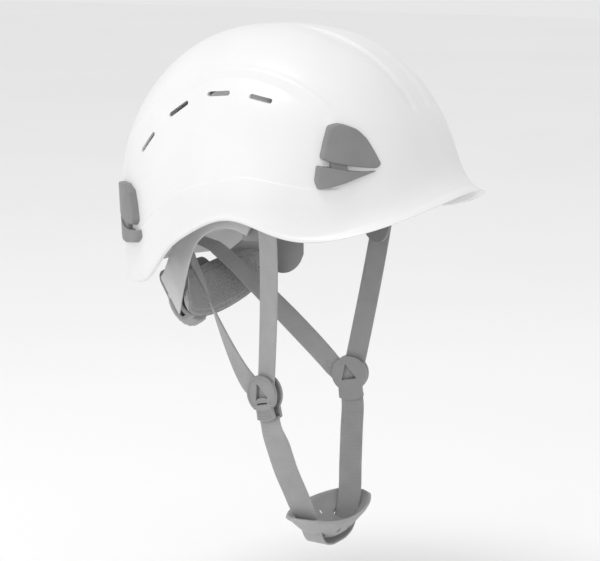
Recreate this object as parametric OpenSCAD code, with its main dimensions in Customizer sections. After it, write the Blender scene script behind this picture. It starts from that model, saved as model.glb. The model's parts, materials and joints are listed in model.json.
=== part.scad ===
// Helmet for work at height: a one-piece shell with four lamp clips, a webbing
// crown cradle, a ratchet nape band and a four-point chin harness with a cup.
// Front is -Y, the wearer's left is +X, up is +Z. The origin lies on the middle
// plane, level with the lowest point of the side rim. Millimetres.

/* [Shell] */
// Crown height above the side rim
crown_h = 157; // [150:1:164]
// Half width of the shell
half_w = 113; // [110:1:118]
// Length of the shell ahead of the ears, without the brim
front_r = 130; // [127:1:136]
// Length of the shell behind the ears
rear_r = 118; // [116:1:124]
// Wall thickness
wall = 2.6; // [2.2:0.1:3.2]
// How far the brim flares out at the brow
brim = 20; // [16:1:26]
// Depth of the cut-out over the ear
arch_rise = 21; // [15:1:24]
// Drop of the rear rim below the side rim
nape_drop = 34; // [28:1:36]

/* [Lamp clips] */
// How far the clips stand off the shell
clip_proud = 5; // [4:0.5:6]
// Height of the gap for a lamp strap
clip_gap = 5; // [4.6:0.2:5.4]

/* [Head band] */
// Half width of the band round the head
band_half_w = 80; // [78:1:82]
// Length of the band ahead of the ears
band_front = 100; // [98:1:103]
// Height of the brow band
band_h = 30; // [26:1:32]

/* [Nape ratchet] */
// Knob radius
knob_r = 18; // [16:0.5:19]
// Width of the ratchet housing
housing_w = 64; // [62:1:68]

/* [Harness] */
// Webbing width
web_w = 16; // [13:1:16]
// Webbing thickness
web_t = 1.3; // [1.1:0.1:1.4]
// Height of the right divider below the side rim
drop_right = 106; // [100:1:112]
// Height of the left divider below the side rim
drop_left = 115; // [108:1:120]

/* [Hidden] */
$fn = 48;

// Shell form
belt_z = 40;        // widest level of the shell, where the dome starts
plan_n = 2.25;      // squareness of the plan
crown_p = 1.77;     // roundness of the dome's height
crown_q = 2.4;      // fullness of the dome's width
tuck = 0.03;        // how much the skirt draws in, per 80 mm
tuck_h = 80;
brim_fade = 10;     // height over which the brim's flare dies out
brim_spread = 55;   // half angle of the brim
rim_side = 5;
brow_rise = 36;
brow_spread = 42;
arch_angle = 83;
arch_spread = 19.5;
nape_angle = 115;
nape_blend = 4.3;
around = 72;
dome_n = 11;
skirt_n = 6;

function unit(v) = v / norm(v);
function mix(a, b, s) = a + (b - a) * s;
function flip(p) = [-p[0], p[1], p[2]];
function from_front(a) = abs((a + 540) % 360 - 180);

// Height of the rim at angle a, counted from the front towards the wearer's left
function rim_z(a) =
    let (w = from_front(a))
    rim_side + brow_rise * exp(-pow(w / brow_spread, 2))
    + arch_rise * exp(-pow((w - arch_angle) / arch_spread, 2))
    - nape_drop / (1 + exp(-(w - nape_angle) / nape_blend));

// Plan radius of the shell at angle a, a rounded rectangle
function plan_r(a, grow) =
    let (len = (cos(a) > 0 ? front_r : rear_r) + grow)
    pow(pow(abs(cos(a)) / len, plan_n)
        + pow(abs(sin(a)) / (half_w + grow), plan_n), -1 / plan_n);

function brim_at(a, z) =
    brim * exp(-pow(from_front(a) / brim_spread, 2.5))
    * exp(-(z - rim_z(a)) / brim_fade);

// Radius of the shell's skin at angle a and height z, grown outwards by grow
function skin_r(a, z, grow = 0) =
    let (rise = max(0, z - belt_z) / (crown_h + grow - belt_z),
         lift = min(1, pow(rise, crown_p / 2)),
         dome = pow(1 - lift * lift, 1 / crown_q),
         skirt = 1 - tuck * max(0, belt_z - z) / tuck_h,
         flare = brim_at(a, z),
         lean = sqrt(1 + pow(flare / brim_fade, 2)))
    plan_r(a, 0) * dome * skirt + flare + grow * lean * pow(dome, 0.5);

function skin(a, z, grow = 0) =
    let (r = skin_r(a, z, grow)) [r * sin(a), -r * cos(a), z];

// Height of ring k, from the crown down to the rim
function ring_z(a, k, grow) =
    k <= dome_n
    ? belt_z + (crown_h + grow - belt_z) * pow(cos(90 * k / dome_n), 2 / crown_p)
    : mix(belt_z, rim_z(a), (k - dome_n) / skirt_n);

// Closed solid between two equal grids of points
module slab(front, back) {
    rows = len(front);
    cols = len(front[0]);
    all = rows * cols;
    function id(s, i, j) = s * all + i * cols + j;
    points = concat([for (r = front) each r], [for (r = back) each r]);
    faces = concat(
        [for (i = [0 : rows - 2], j = [0 : cols - 2]) each [
            [id(0, i, j), id(0, i, j + 1), id(0, i + 1, j + 1)],
            [id(0, i, j), id(0, i + 1, j + 1), id(0, i + 1, j)],
            [id(1, i, j), id(1, i + 1, j + 1), id(1, i, j + 1)],
            [id(1, i, j), id(1, i + 1, j), id(1, i + 1, j + 1)]]],
        [for (i = [0 : rows - 2], j = [0, cols - 1]) each j == 0
            ? [[id(0, i, j), id(0, i + 1, j), id(1, i + 1, j)],
               [id(0, i, j), id(1, i + 1, j), id(1, i, j)]]
            : [[id(0, i, j), id(1, i + 1, j), id(0, i + 1, j)],
               [id(0, i, j), id(1, i, j), id(1, i + 1, j)]]],
        [for (j = [0 : cols - 2], i = [0, rows - 1]) each i == 0
            ? [[id(0, i, j), id(1, i, j + 1), id(0, i, j + 1)],
               [id(0, i, j), id(1, i, j), id(1, i, j + 1)]]
            : [[id(0, i, j), id(0, i, j + 1), id(1, i, j + 1)],
               [id(0, i, j), id(1, i, j + 1), id(1, i, j)]]]);
    polyhedron(points, faces, convexity = 8);
}

// Flat band along a path; across[i] gives its width side, width is one or a list
module ribbon(path, across, width, thick) {
    last = len(path) - 1;
    function wide(i) = is_list(width) ? width[i] : width;
    function along(i) = unit(path[min(i + 1, last)] - path[max(i - 1, 0)]);
    function side(i) = unit(across[i] - (across[i] * along(i)) * along(i));
    function row(i, s) = [for (k = [-1, 1])
        path[i] + side(i) * k * wide(i) / 2
        + cross(along(i), side(i)) * s * thick / 2];
    slab([for (i = [0 : last]) row(i, 1)], [for (i = [0 : last]) row(i, -1)]);
}

// Cubic curve through two ends, drawn by two handles
function bezier(p, s) = pow(1 - s, 3) * p[0] + 3 * s * pow(1 - s, 2) * p[1]
    + 3 * s * s * (1 - s) * p[2] + pow(s, 3) * p[3];
function curve(p, n) = [for (i = [0 : n]) bezier(p, i / n)];
function turn(a, b, n) = [for (i = [0 : n]) unit(mix(a, b, i / n))];

/* Shell ---------------------------------------------------------------- */

module shell_body() {
    rings = dome_n + skirt_n;
    function side_points(grow) = concat(
        [[0, 0, crown_h + grow]],
        [for (k = [1 : rings], i = [0 : around - 1])
            let (a = i * 360 / around) skin(a, ring_z(a, k, grow), grow)]);
    count = rings * around + 1;
    function id(s, k, i) = s * count + 1 + (k - 1) * around + i % around;
    faces = concat(
        [for (i = [0 : around - 1]) each [
            [0, id(0, 1, i + 1), id(0, 1, i)],
            [count, id(1, 1, i), id(1, 1, i + 1)],
            [id(0, rings, i), id(1, rings, i + 1), id(1, rings, i)],
            [id(0, rings, i), id(0, rings, i + 1), id(1, rings, i + 1)]]],
        [for (k = [1 : rings - 1], i = [0 : around - 1]) each [
            [id(0, k, i), id(0, k + 1, i + 1), id(0, k + 1, i)],
            [id(0, k, i), id(0, k, i + 1), id(0, k + 1, i + 1)],
            [id(1, k, i), id(1, k + 1, i), id(1, k + 1, i + 1)],
            [id(1, k, i), id(1, k + 1, i + 1), id(1, k, i + 1)]]]);
    polyhedron(concat(side_points(0), side_points(-wall)), faces, convexity = 10);
}

vent_h = 3.2;
vent_len = 17;
vent_angles = [-124, -112, -94, -73];
vent_top = 112.5;
vent_mid = 88;

// One slot through the side wall, level with the shell's shoulder line
module vent(a) {
    d = vent_pt(a + 2) - vent_pt(a - 2);
    translate(vent_pt(a))
        rotate([0, 0, atan2(d[1], d[0])])
        rotate([0, -atan2(d[2], norm([d[0], d[1]])), 0])
        cube([vent_len, 24, vent_h], center = true);
}
// The row of vents is an arch that falls away slowly forwards, fast backwards
function vent_pt(a) =
    let (w = from_front(a))
    skin(a, vent_top - 0.011 * pow(max(0, vent_mid - w), 2)
            - 0.0021 * pow(max(0, w - vent_mid), 2.73));

// A resize to nothing leaves the size as it is and keeps the shell one fine mesh
module outer_shell() color("whitesmoke")
    resize([0, 0, 0])
    difference() {
        shell_body();
        for (a = vent_angles) {
            vent(a);
            mirror([1, 0, 0]) vent(a);
        }
    }

/* Lamp clips ------------------------------------------------------------ */

clip_sink = 0.3;   // how far the clips bed into the shell
clip_cols = 10;
clip_rows = 5;

// Pad on the shell between angles a0 and a1; lo, hi and proud are functions of 0..1
module skin_pad(a0, a1, lo, hi, proud) {
    function grid(f) = [for (i = [0 : clip_cols])
        let (s = i / clip_cols, a = mix(a0, a1, s))
        [for (j = [0 : clip_rows])
            skin(a, mix(lo(s), hi(s), j / clip_rows), f(s))]];
    bed = grid(function(s) -clip_sink);
    face = grid(proud);
    if (a1 > a0) slab(face, bed);
    else slab(bed, face);
}

// The clip seen from the wearer's right, a0 its rear edge and a1 its front edge
module lamp_clip(a0, a1, base, top) {
    high = top - base;
    cut_lo = base + 0.36 * high;
    cut_hi = cut_lo + clip_gap;
    // shield above the gap, its front edge sweeping down and thinning out
    skin_pad(a0, a1,
        function(s) cut_hi - 3 * s,
        function(s) cut_hi - 3 * s + 2 + (top - cut_hi - 2) * pow(1 - pow(s, 2.8), 0.6)
            * min(1, 0.8 + 2 * s),
        function(s) clip_proud * (1 - 0.72 * s * s));
    // wedge below the gap
    skin_pad(a0 - 1, mix(a0, a1, 0.72),
        function(s) base + (cut_lo - base - 2) * pow(s, 1.3) + 2 * pow(1 - s, 6),
        function(s) cut_lo - 3 * s,
        function(s) clip_proud * (1 - 0.5 * s));
    // neck that joins them
    skin_pad(mix(a0, a1, 0.22), mix(a0, a1, 0.42),
        function(s) cut_lo - 4,
        function(s) cut_hi + 1,
        function(s) clip_proud * 0.5);
}

module lamp_clip_front_right() color("dimgray") lamp_clip(-51, -30, 49, 95);
module lamp_clip_front_left() color("dimgray") mirror([1, 0, 0]) lamp_clip_front_right();
module lamp_clip_rear_right() color("dimgray") lamp_clip(-124, -147, 1, 44);
module lamp_clip_rear_left() color("dimgray") mirror([1, 0, 0]) lamp_clip_rear_right();

/* Crown cradle and brow band -------------------------------------------- */

cradle_z = 46;       // level at which the cradle is hung
cradle_gap = 6;      // clearance of the webbing from the shell wall
cradle_top = 122;    // height of the lowest crown strap
strap_step = 2.4;    // each crossing strap lies this much higher
cradle_cols = 20;

// Strap over the crown from angle a to the opposite side
module crown_strap(a, height) {
    function reach(b) = min([for (z = [cradle_z, cradle_z + 16])
        skin_r(b, z, -wall - cradle_gap)]);
    path = [for (i = [0 : cradle_cols])
        let (t = mix(-90, 90, i / cradle_cols),
             r = (t < 0 ? reach(a) : reach(a + 180)) * sin(t))
        [-r * sin(a), r * cos(a), mix(cradle_z, height, pow(cos(t), 0.85))]];
    ribbon(path, [for (p = path) [cos(a), sin(a), 0]], web_w, web_t);
}

module crown_strap_long() color("gray") crown_strap(0, cradle_top);
module crown_strap_cross_a() color("gray") crown_strap(60, cradle_top + strap_step);
module crown_strap_cross_b() color("gray") crown_strap(-60, cradle_top + 2 * strap_step);

// Pad bedded into the inside of the shell wall, centred on angle a
module wall_pad(a, half, z0, z1, thick) {
    function grid(g) = [for (i = [0 : 4]) [for (j = [0 : 3])
        skin(a + mix(-half, half, i / 4), mix(z0, z1, j / 3), g)]];
    slab(grid(clip_sink - wall), grid(-wall - thick));
}

module cradle_anchors() color("gray")
    for (a = [0 : 60 : 300])
        wall_pad(a, 5, cradle_z + 1, cradle_z + 15, 3);

band_t = 2;
band_z = 42;

function oval(a, z, grow) =
    [(band_half_w + grow) * sin(a), -(band_front + grow) * cos(a), z];

// Piece of the head band from angle a0 to a1, between two offsets from the oval
module band_piece(a0, a1, cols, inner, outer, lo, hi) {
    function grid(g) = [for (i = [0 : cols])
        let (s = i / cols, a = mix(a0, a1, s))
        [for (j = [0 : 4]) oval(a, mix(lo(s), hi(s), j / 4), g)]];
    slab(grid(outer), grid(inner));
}

module brow_band() color("dimgray")
    band_piece(-62, 62, 20, 0, band_t,
        function(s) band_z - band_h / 2,
        function(s) band_z + band_h / 2);

pad_gap = 0.3;
brow_pad_t = 5;
module brow_pad() color("dimgray")
    band_piece(-54, 54, 18, -pad_gap - brow_pad_t, -pad_gap,
        function(s) band_z - band_h / 2 - 4 + 8 * pow(abs(2 * s - 1), 6),
        function(s) band_z + band_h / 2 + 3 - 8 * pow(abs(2 * s - 1), 6));

plate_t = 2.4;
plate_lo = -14;
tab_r = 20;          // the front of the plate's lower end is a round tab
tab_from = 0.32;
plate_mid = 8;
plate_hi = 54;
module temple_plate_right() color("darkgray")
    difference() {
        band_piece(-84, -59, 20, band_t + pad_gap, band_t + pad_gap + plate_t,
            function(s) s < tab_from ? plate_mid :
                let (u = 2 * (s - tab_from) / (1 - tab_from) - 1)
                plate_lo + tab_r * (1 - sqrt(1 - pow(0.95 * u, 2))),
            function(s) plate_hi - 8 * pow(abs(2 * s - 1), 6));
        temple_rivet(rivet_a, slack);
    }
module temple_plate_left() color("darkgray") mirror([1, 0, 0]) temple_plate_right();

rivet_a = -60;
rivet_r = 2.5;
module temple_rivet(a, slack = 0) {
    p = oval(a, band_z - 4, 0);
    translate(p) rotate([0, 0, atan2(p[1], p[0])]) rotate([0, 90, 0]) {
        translate([0, 0, 0.6]) cylinder(r = rivet_r + slack, h = 9);
        if (slack == 0) translate([0, 0, 6.4]) cylinder(r = 4.5, h = 1.6);
    }
}
module temple_rivets() color("silver")
    for (side = [0, 1]) mirror([side, 0, 0]) temple_rivet(rivet_a);

/* Nape ratchet ----------------------------------------------------------- */

nape_at = [0, 78, -47];
nape_lean = -30;
housing_h = 42;
housing_r = 10;
front_t = 3.5;
rear_t = 5.4;
knob_drop = 8;       // the knob sits this much below the housing's middle
rack_t = 2.4;
rack_from = 0.4;     // where the racks lie behind the joint face
tooth = 1;           // gear module
pinion_teeth = 10;
pitch_r = pinion_teeth * tooth / 2;
tip = 0.7;
root = 1;
rack_back = 4.5;     // rack depth above the pitch line
rack_reach = 12;     // how far a rack runs past the pinion
rack_tail = 3;       // how far a rack stands out of the housing
slack = 0.05;
shaft_r = 3;
knob_t = 12;
knob_gap = 0.5;

module nape_frame() translate(nape_at) rotate([nape_lean, 0, 0]) children();
module plate(y0, y1) translate([0, y1, 0]) rotate([90, 0, 0]) linear_extrude(y1 - y0) children();
module rounded(w, h, r) {
    square([w - 2 * r, h], center = true);
    square([w, h - 2 * r], center = true);
    for (x = [-1, 1], y = [-1, 1])
        translate([x * (w / 2 - r), y * (h / 2 - r)]) circle(r);
}
function nape_pt(x, y, z) = nape_at + [x, y * cos(nape_lean) - z * sin(nape_lean),
    y * sin(nape_lean) + z * cos(nape_lean)];

screw_x = housing_w / 2 - 7;
screw_z = 12;
screw_r = 1.4;
module each_screw() for (x = [-1, 1]) translate([x * screw_x, 0, screw_z]) children();
module rod(r, y0, y1) translate([0, y1, 0]) rotate([90, 0, 0]) cylinder(r = r, h = y1 - y0);

module housing_front() color("gray") nape_frame()
    difference() {
        plate(-front_t, 0) rounded(housing_w, housing_h, housing_r);
        each_screw() rod(screw_r, -front_t - 1, 1);
        each_screw() rod(2.6, -front_t - 1, -front_t + 1.6);
    }

module housing_rear() color("gray") nape_frame()
    difference() {
        plate(0, rear_t) rounded(housing_w, housing_h, housing_r);
        translate([0, rack_t / 2, -knob_drop])
            cube([housing_w + 2, rack_t + 1.6, 2 * (pitch_r + rack_back) + 1], center = true);
        translate([0, 0, -knob_drop]) rod(shaft_r + slack, 0, rear_t + 1);
        each_screw() rod(screw_r, -1, 4);
    }

module housing_screws() color("silver") nape_frame() each_screw() {
    rod(screw_r, -front_t + 1.6, 3.6);
    rod(2.5, -front_t + 0.2, -front_t + 1.6);
}

module pinion_outline() {
    step = 360 / pinion_teeth;
    polygon([for (i = [0 : pinion_teeth - 1]) each
        [for (c = [[-9, pitch_r - root], [-3.5, pitch_r + tip],
                   [3.5, pitch_r + tip], [9, pitch_r - root]])
            c[1] * [sin(i * step + c[0]), cos(i * step + c[0])]]]);
}

module ratchet_pinion() color("darkgray") nape_frame() translate([0, 0, -knob_drop])
    difference() {
        union() {
            plate(rack_from, rack_from + rack_t) pinion_outline();
            rod(shaft_r, rack_from, rear_t + 9);
        }
        rod(1.5, rear_t, rear_t + 10);
    }

// Rack with its teeth towards the pinion; it runs in from -X
module rack() {
    first = -housing_w / 2 - rack_tail;
    pitch = PI * tooth;
    plate(rack_from, rack_from + rack_t) {
        polygon([[first, pitch_r + root], [rack_reach, pitch_r + root],
                 [rack_reach, pitch_r + rack_back], [first, pitch_r + rack_back]]);
        for (k = [-9 : 3]) translate([(k + 0.5) * pitch, pitch_r + root + 0.01])
            polygon([[-0.8, 0], [-0.35, -root - tip], [0.35, -root - tip], [0.8, 0]]);
    }
}
module rack_right() color("silver") nape_frame() translate([0, 0, -knob_drop]) rack();
module rack_left() color("silver") nape_frame() translate([0, 0, -knob_drop])
    rotate([0, 180, 0]) rack();

grips = 20;
module ratchet_knob() color("dimgray") nape_frame()
    translate([0, rear_t + knob_gap, -knob_drop]) rotate([-90, 0, 0])
    difference() {
        rotate_extrude() polygon([[0, 0], [knob_r - 1.5, 0], [knob_r, 1.5],
            [knob_r, knob_t - 3], [knob_r - 2.5, knob_t], [0, knob_t]]);
        for (i = [0 : grips - 1]) rotate([0, 0, i * 360 / grips])
            translate([knob_r + 0.9, 0, -1]) cylinder(r = 1.8, h = knob_t + 2, $fn = 24);
        translate([0, 0, -1]) cylinder(r = shaft_r, h = 9 + 1 - knob_gap);
        translate([0, 0, -1]) cylinder(r = 1.5, h = knob_t + 2);
        translate([0, 0, knob_t - 2.4]) cylinder(r = 4, h = 3);
    }
module knob_screw() color("silver") nape_frame()
    translate([0, rear_t + knob_gap, -knob_drop]) rotate([-90, 0, 0]) {
        translate([0, 0, 2]) cylinder(r = 1.5, h = knob_t - 4);
        translate([0, 0, knob_t - 2.4]) cylinder(r = 3.8, h = 2);
    }

pad_span = 41;
pad_bend = 88;
pad_y = 69.6;
pad_cols = 20;
nape_pad_t = 5;
// Wide pad that cradles the back of the head, in a bow round the nape
module nape_pad() {
    function place(b, z, g) = let (lean = 0.5 * cos(2 * b))
        [(pad_bend + g) * sin(b), pad_y + (pad_bend + g) * cos(b) - pad_bend
            + lean * (z - nape_at[2]), z];
    function grid(g) = [for (i = [0 : pad_cols])
        let (b = mix(-pad_span, pad_span, i / pad_cols), u = abs(b) / pad_span,
             lo = -66 + 14 * u * u, hi = -32 + 14 * pow(u, 1.5),
             half = (hi - lo) / 2 * pow(1 - 0.96 * pow(u, 9), 0.5))
        [for (j = [0 : 6]) place(b, (lo + hi) / 2 + half * mix(-1, 1, j / 6), g)]];
    color("dimgray") slab(grid(-nape_pad_t / 2), grid(nape_pad_t / 2));
}

arm_w = 18;         // height of an arm at the temple
arm_root_w = 32;    // and at the ratchet housing
arm_t = 1.6;
// Springy arm from the temple plate, under the ear arch, to a rack's tail
module band_arm(tail) {
    bend = [-78, 38, 6];
    front = curve([[-86, -20, 20], [-91, 2, 33], [-85, 25, 20], bend], 8);
    rear = curve([bend, [-74, 47, -7], [-56, 63, -36], tail], 9);
    path = concat(front, [for (i = [1 : 9]) rear[i]]);
    ribbon(path, turn([0, 0.1, 1], [0, 0.5, 0.9], 17),
        [for (i = [0 : 17]) mix(arm_w, arm_root_w, pow(max(0, i - 6) / 11, 1.5))], arm_t);
}
tail_x = housing_w / 2 + rack_tail + 1.2;
module band_arm_right() color("silver") band_arm(nape_pt(-tail_x, 0, 0));
module band_arm_left() color("silver") mirror([1, 0, 0]) band_arm_right();

/* Chin harness ----------------------------------------------------------- */

divider_x = 67;
// Where each divider hangs: y, z, and how far its lower end leans forwards
right_at = [-19.5, -drop_right, 14];
left_at = [-22, -drop_left - 2, 5];
divider_yaw = 14;
disc_r = 14;
plate_from = -3.8;
cavity = 1.8;        // half the gap between the divider's two halves
cover_to = 4.4;
reach_r = 20.6;      // lowest point of the divider below its middle
pin_z = -9;
pin_x = 3.3;
pin_r = 1;
lever_w = 16;

// Places its children on the right divider; their +X points outwards
module on_divider(at) translate([-divider_x, at[0], at[1]])
    rotate([0, 0, 180 - divider_yaw]) rotate([at[2], 0, 0]) children();
module on_right() on_divider(right_at) children();
module on_left() mirror([1, 0, 0]) on_divider(left_at) children();
module sheet(x0, x1) translate([x0, 0, 0]) rotate([90, 0, 90]) linear_extrude(x1 - x0) children();
module bar(r, x, z, len) translate([x, -len / 2, z]) rotate([-90, 0, 0]) cylinder(r = r, h = len);

module divider_outline() {
    circle(disc_r);
    intersection() {
        translate([-9.5, -reach_r]) square([19, reach_r]);
        circle(reach_r);
    }
}
module window() polygon([[-6.5, -4.5], [5.5, -3.5], [-2.5, 8]]);

module divider_plate() difference() {
    sheet(plate_from, -cavity) divider_outline();
    sheet(plate_from - 1, 0) window();
}
module divider_cover() difference() {
    union() {
        sheet(cavity, cover_to) circle(disc_r);
        sheet(cover_to, cover_to + 0.8) difference() {
            circle(disc_r);
            circle(disc_r - 1.6);
        }
    }
    sheet(cavity - 1, cover_to + 2) window();
    translate([0, -lever_w / 2 - 0.3, -disc_r - 1]) cube([10, lever_w + 0.6, disc_r - 5.5]);
    bar(pin_r, pin_x, pin_z, 30);
}
module cam_lever() difference() {
    intersection() {
        union() {
            bar(2, pin_x, pin_z, lever_w);
            translate([cavity + 0.5, -lever_w / 2, -reach_r]) cube([3, lever_w, reach_r + pin_z]);
            for (k = [-3 : 3]) bar(0.8, cover_to + 0.9, pin_z - 6 - (k + 3) * 0.8, lever_w - 3);
        }
        translate([-1, 0, 0]) rotate([0, 90, 0]) cylinder(r = reach_r, h = 10);
    }
    bar(pin_r + slack, pin_x, pin_z, lever_w + 2);
}

module divider_plate_right() color("gray") on_right() divider_plate();
module divider_plate_left() color("gray") on_left() divider_plate();
module divider_cover_right() color("gray") on_right() divider_cover();
module divider_cover_left() color("gray") on_left() divider_cover();
module cam_lever_right() color("gray") on_right() cam_lever();
module cam_lever_left() color("gray") on_left() cam_lever();
module cam_pins() color("silver") {
    on_right() bar(pin_r, pin_x, pin_z, 19);
    on_left() bar(pin_r, pin_x, pin_z, 19);
}

// Direction and point on a divider, x outwards, y forwards, z up, for the wearer's right
function divider_dir(at, x, y, z) =
    let (fore = y * cos(at[2]) - z * sin(at[2]), up = y * sin(at[2]) + z * cos(at[2]))
    [-x * cos(divider_yaw) - fore * sin(divider_yaw),
     x * sin(divider_yaw) - fore * cos(divider_yaw), up];
function divider_pt(at, x, y, z) = [-divider_x, at[0], at[1]] + divider_dir(at, x, y, z);

layer = 0.85;        // webbing layers lie this far either side of the middle
inside = 19;         // length of the straight end that lies in the divider
// Strap from a to a divider, ending at end with its last stretch along dir, y and z
module divider_strap(at, a, b, x, end, dir, turned) {
    tip = divider_pt(at, x, end[0], end[1]);
    way = divider_dir(at, 0, dir[0], dir[1]) / norm(dir);
    path = concat(curve([a, b, tip + (inside + 26) * way, tip + inside * way], 14), [tip]);
    flat = divider_dir(at, 0, -dir[1], dir[0]);
    ribbon(path, [for (i = [0 : 15]) unit(mix(turned, flat, min(1, i / 11)))], web_w, web_t);
}
module front_strap(at, back) {
    shift = [0, back, 0];
    divider_strap(at, [-104, -40, 30] + shift, [-98, -42, 6] + shift, layer,
        [0, -5.8], [0.3, 1], [0.15, 1, 0.1]);
}
over_pad = [-19, 72, -17];   // the rear straps pass over the nape pad's edge here
module rear_strap(at, bow) {
    tip = divider_pt(at, -layer, 0, -7);
    way = divider_dir(at, 0, -0.68, 0.73);
    top = curve([[-12, 106, -5], [-12, 92, -10], over_pad + [5, 11, 6], over_pad], 5);
    down = curve([over_pad, over_pad + [-5, -11, -7], tip + (inside + 26) * way + [0, 0, bow],
        tip + inside * way], 12);
    path = concat(top, [for (i = [1 : 12]) down[i]], [tip]);
    flat = divider_dir(at, 0, 0.73, 0.68);
    ribbon(path, [for (i = [0 : 18]) unit(mix([-0.95, -0.3, 0], flat, max(0, min(1, (i - 8) / 9))))],
        web_w, web_t);
}
module front_strap_right() color("darkgray") front_strap(right_at, 0);
module front_strap_left() color("darkgray") mirror([1, 0, 0]) front_strap(left_at, 5);
module rear_strap_right() color("darkgray") rear_strap(right_at, 0);
module rear_strap_left() color("darkgray") mirror([1, 0, 0]) rear_strap(left_at, 5);

module strap_anchors() color("dimgray") for (side = [0, 1]) mirror([side, 0, 0]) {
    wall_pad(-70, 5, 32, 46, 5);
    wall_pad(-173.5, 4.5, -3, 8, 5);
}

cup_half = 49;       // half the cup's width across the jaw
cup_depth = 22;      // half its depth, front to back
cup_at = [0, -38, -227];
cup_t = 2.2;
cup_rise = 24;       // how far the wings stand above the bottom
cup_bowl = 18;       // how far the front edge stands above the bottom
cup_back = 24;       // and the back edge
cup_cols = 20;
cup_rows = 8;
slot_x = 27.5;
slot_w = 11;

function cup_mid(u, v) = cup_at + [cup_half * u,
    -cup_depth * sqrt(1 - 0.78 * u * u) * v,
    cup_rise * u * u + (v > 0 ? cup_bowl : cup_back) * (1 - u * u) * v * v];
function cup_out(u, v, e = 0.01) = unit(cross(
    cup_mid(u + e, v) - cup_mid(u - e, v), cup_mid(u, v + e) - cup_mid(u, v - e)));
function cup_skin(g) = [for (i = [0 : cup_cols]) [for (j = [0 : cup_rows])
    let (u = mix(-1, 1, i / cup_cols), v = mix(-1, 1, j / cup_rows))
    cup_mid(u, v) + g * cup_out(u, v)]];

module chin_cup() color("darkgray")
    resize([0, 0, 0])
    difference() {
        slab(cup_skin(cup_t / 2), cup_skin(-cup_t / 2));
        for (x = [-1, 1]) translate([x * slot_x, cup_at[1], cup_at[2] + 6])
            cube([slot_w, web_w + 3, 20], center = true);
        for (x = [-14, 0, 14], v = [-0.68, 0.68]) translate(cup_mid(x / cup_half, v))
            rotate([45 * v, 0, 0]) cylinder(r = 2.2, h = 12, center = true, $fn = 20);
    }

// One length of webbing from divider to divider, through the cup's two slots
module chin_strap() {
    start = divider_pt(right_at, 0, 0, -reach_r - 2);
    finish = flip(divider_pt(left_at, 0, 0, -reach_r - 2));
    half = [[-36, -37, -205], [-31, -38, -213], [-27, -38, -220.5], [-21, -38, -226.8],
            [-12, -38, -230]];
    mid = [-54, -29.5, -165];
    path = concat([start, mix(start, mid, 0.5), mid, mix(mid, half[0], 0.5)], half,
        [[0, -38, -231]], [for (i = [4 : -1 : 0]) flip(half[i])],
        [mix(flip(half[0]), finish, 0.35), mix(flip(half[0]), finish, 0.7), finish]);
    color("darkgray")
        ribbon(path, [for (p = path) [p[0] < 0 ? -0.15 : 0.15, -1, 0]], web_w, web_t);
}

outer_shell();
lamp_clip_front_right();
lamp_clip_front_left();
lamp_clip_rear_right();
lamp_clip_rear_left();
crown_strap_long();
crown_strap_cross_a();
crown_strap_cross_b();
cradle_anchors();
brow_band();
brow_pad();
temple_plate_right();
temple_plate_left();
temple_rivets();
band_arm_right();
band_arm_left();
housing_front();
housing_rear();
housing_screws();
nape_pad();
ratchet_pinion();
ratchet_knob();
knob_screw();
rack_right();
rack_left();
front_strap_right();
front_strap_left();
rear_strap_right();
rear_strap_left();
strap_anchors();
divider_plate_right();
divider_plate_left();
divider_cover_right();
divider_cover_left();
cam_lever_right();
cam_lever_left();
cam_pins();
chin_strap();
chin_cup();
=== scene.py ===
# Helmet for work at height: its looks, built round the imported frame. Front is -Y, up is +Z.
# Shapes are worked out in millimetres and turned into metres when a mesh is made.
import json
import math
import bpy
import numpy as np
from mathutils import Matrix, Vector


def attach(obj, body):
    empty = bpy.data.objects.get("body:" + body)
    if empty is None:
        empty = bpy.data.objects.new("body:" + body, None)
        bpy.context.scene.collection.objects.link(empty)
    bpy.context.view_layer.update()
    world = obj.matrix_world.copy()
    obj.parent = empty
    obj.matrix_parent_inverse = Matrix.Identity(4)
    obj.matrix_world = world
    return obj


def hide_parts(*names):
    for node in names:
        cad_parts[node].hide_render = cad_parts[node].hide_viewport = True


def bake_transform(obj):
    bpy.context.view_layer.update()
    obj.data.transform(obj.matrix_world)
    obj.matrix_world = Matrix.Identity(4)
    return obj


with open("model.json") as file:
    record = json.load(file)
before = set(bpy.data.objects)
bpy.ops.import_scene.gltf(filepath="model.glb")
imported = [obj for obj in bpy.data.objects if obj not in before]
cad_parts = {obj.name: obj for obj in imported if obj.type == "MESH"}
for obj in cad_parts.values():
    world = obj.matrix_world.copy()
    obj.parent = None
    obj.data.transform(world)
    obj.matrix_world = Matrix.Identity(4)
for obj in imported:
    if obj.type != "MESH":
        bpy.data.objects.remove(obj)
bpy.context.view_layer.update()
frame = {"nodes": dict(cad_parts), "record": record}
print("frame loaded")


# small maths helpers
def smooth(x, low, high):
    # eased step: 0 below low, 1 above high
    t = np.clip((np.asarray(x, float) - low) / (high - low), 0, 1)
    return t * t * (3 - 2 * t)


def unit(v):
    # vectors divided by their lengths
    return v / np.maximum(np.linalg.norm(v, axis=-1, keepdims=True), 1e-12)


def mix(a, b, t):
    # a plus the share t of the way to b
    return np.asarray(a, float) + (np.asarray(b, float) - np.asarray(a, float)) * t


def bezier(handles, count):
    # cubic curve through the first and last of four handles
    t = np.linspace(0, 1, count)[:, None]
    p = np.asarray(handles, float)
    return ((1 - t) ** 3 * p[0] + 3 * t * (1 - t) ** 2 * p[1]
            + 3 * t * t * (1 - t) * p[2] + t ** 3 * p[3])


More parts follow.
